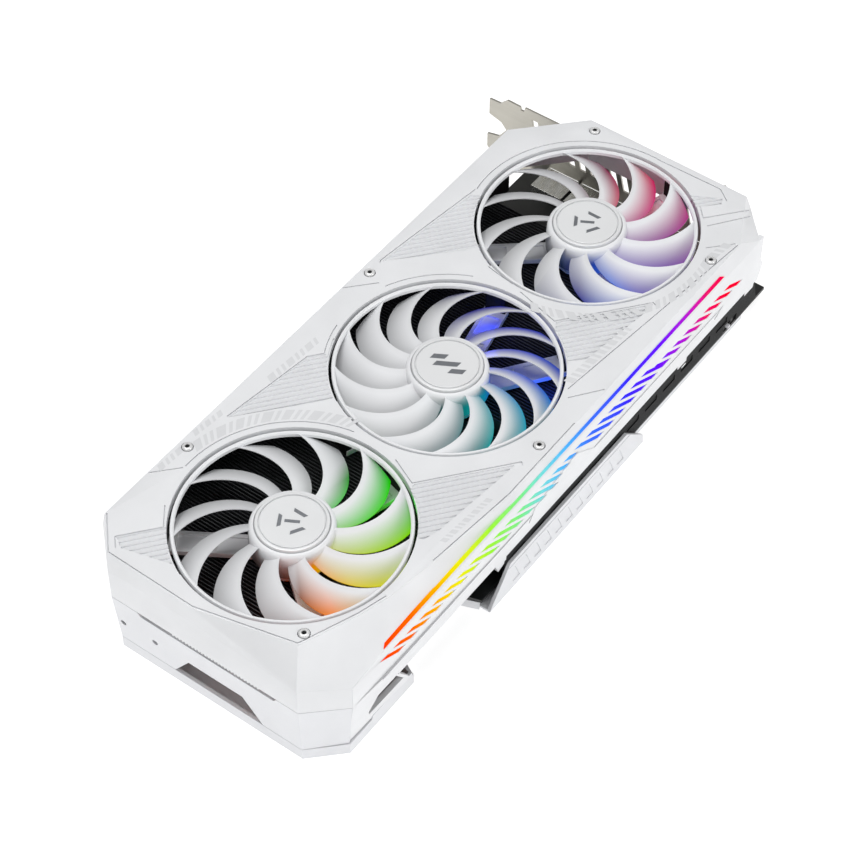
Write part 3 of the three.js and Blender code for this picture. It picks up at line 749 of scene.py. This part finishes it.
def front_shroud():
    shape = Shape()
    edge = [(0.55, 0.0), (0.2, -0.12)]  # the face's outer edge is rounded: inset and depth of each step
    flat = inset(FACE, edge[0][0])
    layers = [(flat, 0.0)] + face_layers()
    relief(shape, layers, lambda u, v, h: (u, v, FACE_Z + h), hole_to=COLLAR_Z - FACE_Z)
    count = len(FACE)

    def ring(outline, levels):
        return [(x, y, z) for (x, y), z in zip(outline, levels)]

    def between(a, b, share):
        return [tuple(Vector(p).lerp(Vector(q), share)) for p, q in zip(a, b)]

    brim = ring(FACE, [FACE_Z - 0.5] * count)
    shoulder = ring(WALL, SHOULDER_Z)
    foot = ring(WALL, [SEAM_Z] * count)
    rings = [
        ring(flat, [FACE_Z] * count), ring(inset(FACE, edge[1][0]), [FACE_Z + edge[1][1]] * count),
        between(brim, shoulder, 0.0), between(brim, shoulder, 0.96), between(shoulder, foot, 0.02),
    ]
    shape.loft(rings, caps=False)
    inner_face = [(x, y, FACE_Z - SHELL - 0.3) for x, y in inset(FACE, 3.4)]
    inner_shoulder = [(x, y, z - 2.4) for (x, y), z in zip(inset(WALL, SHELL), SHOULDER_Z)]
    inner_foot = ring(inset(WALL, SHELL), [SEAM_Z] * count)
    shape.loft([inner_face, inner_shoulder], caps=False)
    last = rings[-1]
    for i in range(count):
        j = (i + 1) % count
        if i in RAIL_ROWS:
            shape.add([last[i], last[j], inner_shoulder[j], inner_shoulder[i]], [[0, 1, 2, 3]])
            continue
        shape.add([last[i], last[j], foot[j], foot[i]], [[0, 1, 2, 3]])
        shape.add([inner_shoulder[i], inner_shoulder[j], inner_foot[j], inner_foot[i]], [[3, 2, 1, 0]])
        shape.add([foot[i], foot[j], inner_foot[j], inner_foot[i]], [[0, 1, 2, 3]])
    for i in (RAIL_ROWS[0], RAIL_ROWS[-1] + 1):
        shape.add([last[i], foot[i], inner_foot[i], inner_shoulder[i]], [[0, 1, 2, 3]])
    inner_z = FACE_Z - SHELL - 0.3
    inner_plate = [([(x, y) for x, y, _ in inner_face], 0.0)]
    inner_plate += [(circle(fan, COLLAR_R), HOLE) for fan in FANS]
    relief(shape, inner_plate, lambda u, v, h: (u, v, inner_z + h), hole_to=COLLAR_Z - inner_z)
    for fan in FANS:
        rings = [[(x, y, COLLAR_Z) for x, y in circle(fan, r)] for r in (OPENING_R, COLLAR_R)]
        shape.loft(rings, caps=False)
    teeth = Shape()
    y = -27.0
    while y < 16:
        teeth.box((REAR_X + 0.1, y, SEAM_Z - 0.9), (REAR_X + 1.6, y + 0.85, SEAM_Z + 0.2))
        y += 1.6
    make("shroud", shape, WHITE_PLASTIC, nodes=["front_shroud"], smooth=26)
    make("shroud_teeth", teeth, WHITE_PLASTIC)


# ---------------------------------------------------------------- lit side cover
DASH_COUNT, DASH_PITCH, DASH_FIRST_X, DASH_WIDTH, DASH_FALL = 31, 8.06, -127.2, 3.4, 0.52
LEAN_TOP_Z = 33.6  # the side cover leans inwards below this height
LEAN = 0.132


def dash_band(i):
    """Lower and upper edge of the stripe of windows at window i."""
    if i < 7:
        return 39.8, 45.3
    if i < 13:
        return 37.0, 45.3
    if i < 16:
        return 38.4 + (i - 12) * 1.3, 45.3
    return (36.8, 45.5) if i < 23 else (36.8, 42.4)


def dash_outline(i, grow=0.0):
    x = DASH_FIRST_X + i * DASH_PITCH
    low, high = dash_band(i)
    low, high, side = low - grow, high + grow, grow * 2.2
    top, bottom = x, x + (high - low) / DASH_FALL
    left = [(top - side, high), (bottom - side, low)]
    right = [(bottom + DASH_WIDTH + side, low), (top + DASH_WIDTH + side, high)]
    return left + right


def side_place(x, z, h):
    """A point on the long side: x along it, z up it, h out of it."""
    corner = max(0.0, -125.6 - x) / 17.9
    lean = max(0.0, LEAN_TOP_Z - z) * LEAN
    return (x, SIDE_Y + corner + lean - h, z)


def side_cover():
    """White rail of the lit side, with its row of slanted windows and the light guides behind them."""
    outline = [
        (-143.4, 46.0), (-143.4, LEAN_TOP_Z), (-142.6, 6.5), (-104.6, 6.5), (-105.4, 9.0),
        (-115.2, 23.8), (-114.6, 22.0),
        (-50.0, 21.4), (-46.5, 13.9), (-41.8, 16.4), (-42.4, 20.6), (84.0, 20.6), (86.0, 10.6),
        (92.6, 10.6), (91.0, 20.6),
        (138.0, 20.6), (140.0, 10.2), (146.4, 10.2), (145.2, 20.6), (148.4, 20.6), (148.4, 31.5),
        (145.4, 36.5),
        (145.4, 50.4), (-125.6, 50.4),
    ]
    layers = [(outline, 0.0)]
    upright = [
        (-143.4, 46.0), (-143.4, LEAN_TOP_Z), (147.1, LEAN_TOP_Z), (145.4, 36.5), (145.4, 50.4),
        (-125.6, 50.4),
    ]
    layers.append((upright, 0.0))
    layers.append(([(-27.5, 33.8), (-26.0, 36.4), (-1.0, 41.9), (3.0, 42.2), (15.5, 33.8)], 0.35))
    layers.append((stroke([(-126.0, 32.8), (-27.0, 32.8), (-28.5, 28.6)], 1.2), -1.5))
    layers.append((stroke([(17.0, 32.6), (114.6, 32.0), (110.5, 27.6)], 1.7), -1.7))
    for i in range(DASH_COUNT):
        layers.append((dash_outline(i, 0.3), HOLE))
    pocket = [(-131.3, 13.2), (-109.8, 13.2), (-116.0, 22.6), (-127.0, 22.6), (-131.8, 15.9)]
    layers.append((pocket, HOLE))
    shape = relief(Shape(), layers, side_place, back=-SHELL)
    make("side_cover", shape, WHITE_PLASTIC, nodes=["side_rail"], smooth=24)
    windows = Shape()
    for i in range(DASH_COUNT):
        relief(windows, [(dash_outline(i), WINDOW_DEPTH)], side_place, back=WINDOW_BACK)
    glow = rainbow_light("light_dashes", 1.0)
    make("light_windows", windows, glow, nodes=["light_dashes"])


# ---------------------------------------------------------------- end frame
def end_frame():
    top, bottom = SEAM_Z - 0.3, 6.3
    tall = top - bottom

    def rear(y, z, h):
        share = (top - z) / tall
        return (REAR_X + 1.8 * share - h, y * (1 - 0.0165 * share), z)

    outline = [
        (-46.0, bottom), (-26.5, bottom), (-17.6, 18.8), (9.4, 18.8), (18.0, bottom), (46.0, bottom),
        (46.0, top), (33.0, top), (31.4, top - 2.1), (-34.0, top - 2.1), (-35.6, top), (-46.0, top),
    ]
    layers = [(outline, 0.0)]
    layers += [(circle((y, 18.0), 1.45, 16), HOLE) for y in (42.9, 26.6)]
    shape = relief(Shape(), layers, rear, back=-SHELL)
    corners = {
        "minus": [((REAR_X, -46.0), (REAR_X + 1.8, -45.24)), ((-143.6, -60.8), (-142.5, -57.9))],
        "plus": [
            ((-131.3, 62.4), (-131.3, 60.6)), ((-141.5, 62.4), (-140.8, 60.6)),
            ((REAR_X, 46.0), (REAR_X + 1.8, 45.24)),
        ],
    }
    for path in corners.values():
        outer = [[(*high, top), (*low, bottom)] for high, low in path]
        push = [Vector(((p[0][0] + 40) * -1, -p[0][1] * 0.9)).normalized() * SHELL for p in path]
        rings = []
        for (high, low), shift in zip(outer, push):
            back = Vector((abs(shift.x), shift.y, 0))
            rings.append([high, low, tuple(Vector(low) + back), tuple(Vector(high) + back)])
        shape.loft(rings)
    make("end_shell", shape, WHITE_PAINT, nodes=["end_frame"], smooth=26)
    # Painted shade: black sheets behind the end wall's top slot and two holes darken what shows through
    # them.
    shade_sheets = Shape().box((REAR_X + 3.4, -36.0, 28.6), (REAR_X + 3.9, 34.0, top))
    shade_sheets.box((REAR_X + 4.1, 22.0, 14.0), (REAR_X + 4.6, 46.0, 22.5))
    make("end_liner", shade_sheets, BAND_BLACK)


# ---------------------------------------------------------------- fans
HUB_R = 17.0
RING_R = (45.7, 47.3)
RING_Z = (53.9, 56.3)
BLADE_TOP = 56.0
BLADE_CHORD = 21.5
ROOT_FLARE = 1.5
BLADE_DROP = (4.4, 7.4)
SPANS, CHORDS = 16, 9
FAN_SPECS = [
    {"blades": 11, "turn": 1, "root": -27.0, "arms": (122, 232, 345)},
    {"blades": 13, "turn": -1, "root": -8.5, "arms": (-36, 12, 160)},
    {"blades": 11, "turn": 1, "root": 17.7, "arms": (129, 240, 345)},
]


def blade_point(s, c, turn, start):
    """A point on a blade: s runs from hub to ring, c from the low edge (0) to the high edge (1)."""
    radius = (HUB_R - 1.2) + (RING_R[0] + 0.8 - HUB_R + 1.2) * s
    out = max(0.0, (radius - HUB_R) / (46.5 - HUB_R))
    chord = BLADE_CHORD + ROOT_FLARE * (1 - s) ** 5
    sweep, bend = (31.0, 1.45) if turn > 0 else (33.0, 1.7)
    angle = math.radians(start + turn * (sweep * out ** bend - chord * (1 - c)))
    fall = BLADE_DROP[0] + (BLADE_DROP[1] - BLADE_DROP[0]) * s
    z = BLADE_TOP - 0.5 * math.sin(math.pi * s) - fall * (1 - c) ** 0.9
    return Vector((radius * math.cos(angle), radius * math.sin(angle), z))


def blade_rings(turn, start):
    rings = []
    for i in range(SPANS + 1):
        above, below = [], []
        for j in range(CHORDS + 1):
            c = j / CHORDS
            p = blade_point(i / SPANS, c, turn, start)
            above.append(tuple(p))
            below.append((p.x, p.y, p.z - 0.35 - 1.15 * math.sin(math.pi * c) ** 0.6))
        rings.append(above + below[::-1])
    return rings


def solid_mesh(name, shape):
    mesh = bpy.data.meshes.new(name)
    mesh.from_pydata([p * MM for p in shape.points], [], shape.faces)
    built = bmesh.new()
    built.from_mesh(mesh)
    bmesh.ops.remove_doubles(built, verts=built.verts, dist=MERGE)
    bmesh.ops.recalc_face_normals(built, faces=built.faces)
    built.to_mesh(mesh)
    built.free()
    return mesh


def union(name, first, second):
    """One closed mesh from two overlapping ones."""
    scene = bpy.context.scene
    objects = []
    for k, part in enumerate((first, second)):
        objects.append(bpy.data.objects.new(f"{name}_{k}", solid_mesh(f"{name}_{k}", part)))
    for o in objects:
        scene.collection.objects.link(o)
    join = objects[0].modifiers.new("Join", "BOOLEAN")
    join.operation, join.solver, join.object = "UNION", "EXACT", objects[1]
    join.use_self = True
    bpy.context.view_layer.update()
    graph = bpy.context.evaluated_depsgraph_get()
    mesh = bpy.data.meshes.new_from_object(objects[0].evaluated_get(graph))
    for o in objects:
        bpy.data.objects.remove(o)
    return mesh


def rotor(index, material):
    spec, x = FAN_SPECS[index], FAN_X[index]
    move = Matrix.Translation((x, 0, 0))
    body = Shape()
    hub = [
        (0, 53.0), (13.5, 53.0), (13.5, 43.2), (17.0, 43.2), (17.5, 44.0), (17.4, 51.0), (17.2, 54.4),
        (16.9, 55.6),
        (16.3, 56.4), (15.6, 56.7), (15.1, 56.7), (15.0, 55.2), (0, 55.2),
    ]
    body.turned(hub, 64, move)
    ring = [
        (RING_R[0], RING_Z[0] + 0.3), (RING_R[0] + 0.3, RING_Z[0]), (RING_R[1] - 0.3, RING_Z[0]),
        (RING_R[1], RING_Z[0] + 0.3),
        (RING_R[1], RING_Z[1] - 0.5), (RING_R[1] - 0.3, RING_Z[1]), (RING_R[0] + 0.5, RING_Z[1]),
        (RING_R[0], RING_Z[1] - 0.6),
    ]
    body.turned(ring, RING_STEPS, move)
    blades = Shape()
    for k in range(spec["blades"]):
        start = spec["root"] + spec["turn"] * k * 360 / spec["blades"]
        blades.loft(blade_rings(spec["turn"], start), move=move)
    mesh = union(f"rotor_{index + 1}", body, blades)
    node = f"fan_rotor_{index + 1}"
    rides_on = f"fan_{index + 1}"
    finish_piece(f"rotor_{index + 1}", mesh, material, rides_on, [node], smooth=38)


def hub_cap(index, material):
    x = FAN_X[index]
    move = Matrix.Translation((x, 0, 0))
    base = 55.6
    profile = [
        (0, base), (14.4, base), (14.7, base + 0.3), (14.7, 57.2), (14.5, 57.6), (14.1, 57.75),
        (13.45, 57.75),
        (13.35, 57.6), (13.3, 56.9), (12.85, 56.9), (12.8, 57.5), (12.6, 57.62), (0, 57.62),
    ]
    cap = Shape().turned(profile, 72, move)
    rides_on, nodes = f"fan_{index + 1}", [f"hub_cap_{index + 1}"]
    make(f"cap_{index + 1}", cap, material, rides_on, nodes, smooth=30)
    emblem = Shape()
    if index == 1:
        marks = [[(-7.5, 2.6), (-1.5, 2.6), (0.0, 5.0), (-6.0, 5.0)],
                 [(-6.0, -1.2), (4.0, -1.2), (5.5, 1.2), (-4.5, 1.2)],
                 [(0.5, -5.0), (6.5, -5.0), (8.0, -2.6), (2.0, -2.6)]]
    else:
        angles = [math.radians(a) for a in range(30, 390, 60)]
        outer = [(6.6 * math.cos(a), 6.6 * math.sin(a)) for a in angles]
        inner = [(p[0] * 0.74, p[1] * 0.74) for p in outer]
        marks = []
        for k in range(6):
            if k % 2 == 0:
                j = (k + 1) % 6
                marks.append([outer[k], outer[j], inner[j], inner[k]])
        marks += [[(-3.0, -0.7), (3.0, -0.7), (3.0, 0.7), (-3.0, 0.7)]]
    turn = Matrix.Rotation(math.radians(-60), 4, "Z")
    for mark in marks:
        emblem.prism(anticlockwise(mark), 57.5, 57.74, move @ turn)
    make(f"emblem_{index + 1}", emblem, EMBLEM_GREY, f"fan_{index + 1}")


# ---------------------------------------------------------------- heatsink
def fins(node):
    low, high = mm_box(node)
    shape = Shape()
    base_top = low.z + 1.2
    shape.box(low, (high.x, high.y, base_top))
    pitch, thick = 1.55, 0.4
    count = int((high.x - low.x - thick) / pitch)
    for i in range(count + 1):
        x = low.x + i * pitch
        shape.box((x, low.y, base_top - 0.1), (x + thick, high.y, high.z))
    make(node.replace("fin_stack", "fins"), shape, FIN_PAINT, nodes=[node], weld=1e-7)


def heat_pipes():
    """Six round pipes, close together at the processor and spread under the fins."""
    for i in range(6):
        low, high = mm_box(f"heat_pipe_{i + 1}")
        radius = (high.z - low.z) / 2
        close, wide = (i - 2.5) * 7.4 + 5, (i - 2.5) * 15 + 2
        bend = close + (wide - close) * 0.35
        route = [(102, close), (64, close), (28, close), (6, bend), (-22, wide), (-80, wide), (-140, wide)]
        curve = bpy.data.curves.new(f"pipe_{i + 1}", "CURVE")
        curve.dimensions, curve.resolution_u = "3D", 10
        curve.bevel_depth, curve.bevel_resolution, curve.use_fill_caps = radius * MM, 6, True
        line = curve.splines.new("BEZIER")
        line.bezier_points.add(len(route) - 1)
        for point, (x, y) in zip(line.bezier_points, route):
            point.co = Vector((x, y, (low.z + high.z) / 2)) * MM
            point.handle_left_type = point.handle_right_type = "AUTO"
        curve.materials.append(COPPER)
        pipe = bpy.data.objects.new(f"pipe_{i + 1}", curve)
        bpy.context.scene.collection.objects.link(pipe)
        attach(pipe, "root")
        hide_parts(f"heat_pipe_{i + 1}")


def support_frame():
    """Black stiffener between the board and the side cover, with a window for the firmware switch."""
    outline = [
        (-43.0, 7.2), (122.6, 7.2), (122.6, 11.6), (133.4, 11.6), (133.4, 7.2), (150.0, 7.2),
        (146.0, 24.0), (-43.0, 24.0),
    ]
    layers = [(outline, 0.0)]
    layers += [([(x, 13.2), (x + 9, 13.2), (x + 9, 16.6), (x, 16.6)], -0.4) for x in range(-38, 118, 14)]
    shape = relief(Shape(), layers, lambda x, z, h: (x, -59.9 - h, z), back=-0.9)
    make("support_frame", shape, BAND_BLACK)


# ---------------------------------------------------------------- screws
def screws():
    """Six round heads, each with a black plug in its socket as painted shade for the deep hole."""
    shape = Shape()
    for screw in SCREWS:
        move = Matrix.Translation((screw.x, screw.y, 0))
        head = [(0, 54.0), (2.05, 54.0), (2.15, 55.8), (2.15, 57.2), (1.95, 57.55), (1.65, 57.7)]
        head += [(1.1, 57.72)]
        head += [(0.95, 57.5), (0.9, 55.0), (0, 54.8)]
        shape.turned(head, 32, move)
    names = [f"shroud_screw_{i}" for i in range(1, 7)]
    # Painted shade: a black plug fills each socket hole nearly to its rim.
    socket_shade = Shape()
    for screw in SCREWS:
        socket_shade.prism(circle((screw.x, screw.y), 0.88, 20), 55.0, 57.25)
    make("screw_pits", socket_shade, BAND_BLACK)
    make("shroud_screws", shape, SCREW_STEEL, nodes=names, smooth=40)


# ---------------------------------------------------------------- badge
def badge():
    """Folded strip low on the lit side, with a row of slanted bars."""

    def place(x, z, h):
        share = (z - 1.2) / 13.8
        return (x, -62.75 + 1.35 * share - h, z)

    outline = [(-56.6, 0.3), (55.4, 0.3), (55.4, 4.6), (43.8, 15.0), (-40.8, 15.0), (-55.6, 1.6)]
    layers = [(outline, 0.0), (stroke([(-42.0, 12.9), (45.6, 12.9)], 0.4), -0.3)]
    for k in range(11):
        x = -40.0 + k * 7.6
        layers.append(([(x, 3.4), (x + 4.6, 3.4), (x + 2.2, 10.6), (x - 2.4, 10.6)], -0.3))
    shape = relief(Shape(), layers, place, back=-1.4)
    shape.box((-56.6, -61.6, 0.1), (55.4, -57.1, 1.2))
    make("badge", shape, WHITE_PAINT, nodes=["side_badge"], smooth=26)


# ---------------------------------------------------------------- assembly
camera()
studio()
front_shroud()
side_cover()
end_frame()
# Painted light: strength for each fan, and colours by turn round it, of the glow painted on the blades.
GLOW_STRENGTH = (0.85, 0.6, 0.6)
GLOW_NEAR = [
    (-180, "#000000"), (-158, "#000000"), (-140, "#4a1a04"), (-120, "#e07800"), (-98, "#c4b400"),
    (-70, "#9cc000"),
    (-40, "#3cc000"), (-12, "#00b400"), (10, "#000000"),
]
GLOW_MID = [
    (-172, "#000000"), (-140, "#0a5a60"), (-112, "#0f9a9a"), (-85, "#1596b4"), (-60, "#2450c0"),
    (-25, "#2838b0"),
    (15, "#20208a"), (45, "#000000"),
]
GLOW_FAR = [
    (-180, "#101028"), (-150, "#2a2a80"), (-125, "#1a5ac8"), (-112, "#5848a8"), (-80, "#7a50a0"),
    (-50, "#a04890"),
    (-25, "#c82a78"), (0, "#c81850"), (25, "#6a1040"), (45, "#000000"), (170, "#000000"),
]
for number, glow in enumerate((GLOW_NEAR, GLOW_MID, GLOW_FAR)):
    material = blade_plastic(f"blade_plastic_{number + 1}", FAN_X[number], glow, GLOW_STRENGTH[number])
    rotor(number, material)
    hub_cap(number, CAP_WHITE)
    keep(f"fan_frame_{number + 1}", WHITE_PLASTIC, 0.4)
    keep(f"fan_stator_{number + 1}", COPPER)
    keep(f"fan_bearing_{number + 1}", BRASS)
    keep(f"fan_shaft_{number + 1}", NICKEL)
fins("fin_stack_rear")
fins("fin_stack_front")
heat_pipes()
support_frame()
screws()
badge()
light_line()
baffles()
face_prints()
fan_posts()
lamps = [
    ((-138, -26, 42), "#ff5a28", 0.003), ((-98, -38, 43), "#ffb000", 0.001),
    ((-62, -22, 42), "#20ff20", 0.001),
    ((-12, -40, 41), "#10e0e0", 0.004), ((24, -34, 40), "#1048ff", 0.004),
    ((38, 6, 44), "#1838ff", 0.002),
    ((66, -24, 42), "#1080ff", 0.004), ((100, -38, 43), "#8030ff", 0.002),
    ((140, -4, 43), "#ff1060", 0.001),
]
for count, (place, colour, power) in enumerate(lamps):
    glow_lamp(f"lamp_{count}", place, colour, power)
keep("led_strip", BOARD_BLACK)
keep("backplate", WHITE_PAINT, 0.3)
keep("circuit_board", BOARD_BLACK)
for number in range(1, 6):
    keep(f"video_socket_{number}", NICKEL, 0.15)
for number in range(1, 4):
    keep(f"power_socket_{number}", SOCKET_BLACK, 0.2)
keep("gpu_package", BOARD_BLACK)
keep("gpu_die", NICKEL)
keep("bios_switch_body", SOCKET_BLACK, 0.1)
keep("bios_switch_slider", WHITE_PLASTIC, 0.1)
keep("io_bracket", STEEL, 0.25)
keep("cold_plate", NICKEL, 0.3)
keep("gpu_retention_bracket", STEEL, 0.2)
for number in range(1, 5):
    keep(f"spring_screw_{number}", SCREW_STEEL, 0.2)
